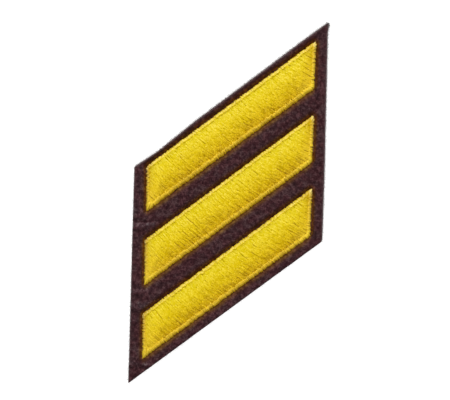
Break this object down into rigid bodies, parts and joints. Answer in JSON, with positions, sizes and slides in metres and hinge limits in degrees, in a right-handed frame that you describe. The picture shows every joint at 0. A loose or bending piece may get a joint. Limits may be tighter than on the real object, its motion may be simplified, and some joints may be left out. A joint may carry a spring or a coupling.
{
  "type": "service stripe",
  "caption": "Flat cloth sleeve insignia: slanted bars in raised gold satin stitch on a dark wool felt ground, sewn on by its back.",
  "frame": {"origin": "the middle of the felt's flat back", "axes": "+Y up the sleeve along the patch's length, +X across the sleeve towards the bars' upper ends, +Z out of the sleeve"},
  "size_m": [0.0516, 0.0992, 0.0025],
  "materials": {
    "felt": "dark plum-brown wool felt, matt and slightly fuzzy",
    "gold_fill_thread": "golden yellow embroidery thread in long satin stitches, soft sheen",
    "gold_edging_thread": "golden yellow embroidery thread in short satin stitches over a cord, soft sheen"
  },
  "bodies": {
    "root": {"felt_ground": "felt", "upper_fill": "gold_fill_thread", "upper_edging": "gold_edging_thread", "middle_fill": "gold_fill_thread", "middle_edging": "gold_edging_thread", "lower_fill": "gold_fill_thread", "lower_edging": "gold_edging_thread"}
  },
  "joints": []
}
